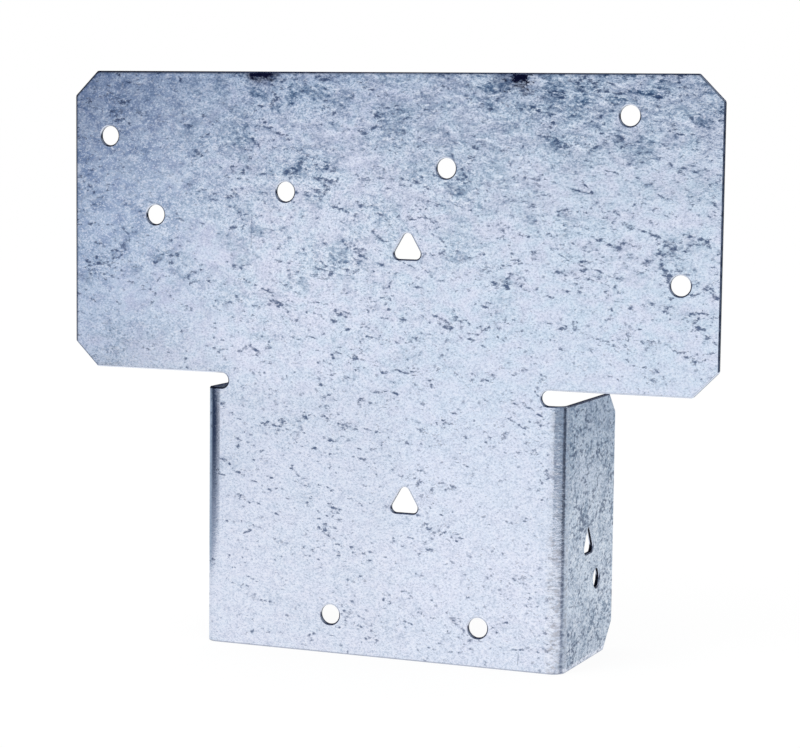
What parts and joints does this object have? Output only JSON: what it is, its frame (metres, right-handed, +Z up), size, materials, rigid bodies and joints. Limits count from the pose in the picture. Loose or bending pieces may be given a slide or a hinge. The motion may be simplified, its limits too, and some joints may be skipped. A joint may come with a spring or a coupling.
{
  "type": "post cap",
  "caption": "Half of a post cap folded from galvanised sheet steel: a wide wing laps the side of a beam, and a stem with two folded flanges holds a timber post.",
  "frame": {"origin": "midway between the wing's ends and between the front face and the flanges' back edges, at the stem's lower edge", "axes": "+X along the wing, +Y from the front face towards the flanges, +Z up from the stem to the wing"},
  "size_m": [0.165, 0.0382, 0.1397],
  "materials": {
    "galvanised_sheet": "hot-dip galvanised, satin, mottled pale blue-grey"
  },
  "bodies": {
    "root": {"post_cap": "galvanised_sheet"}
  },
  "joints": []
}
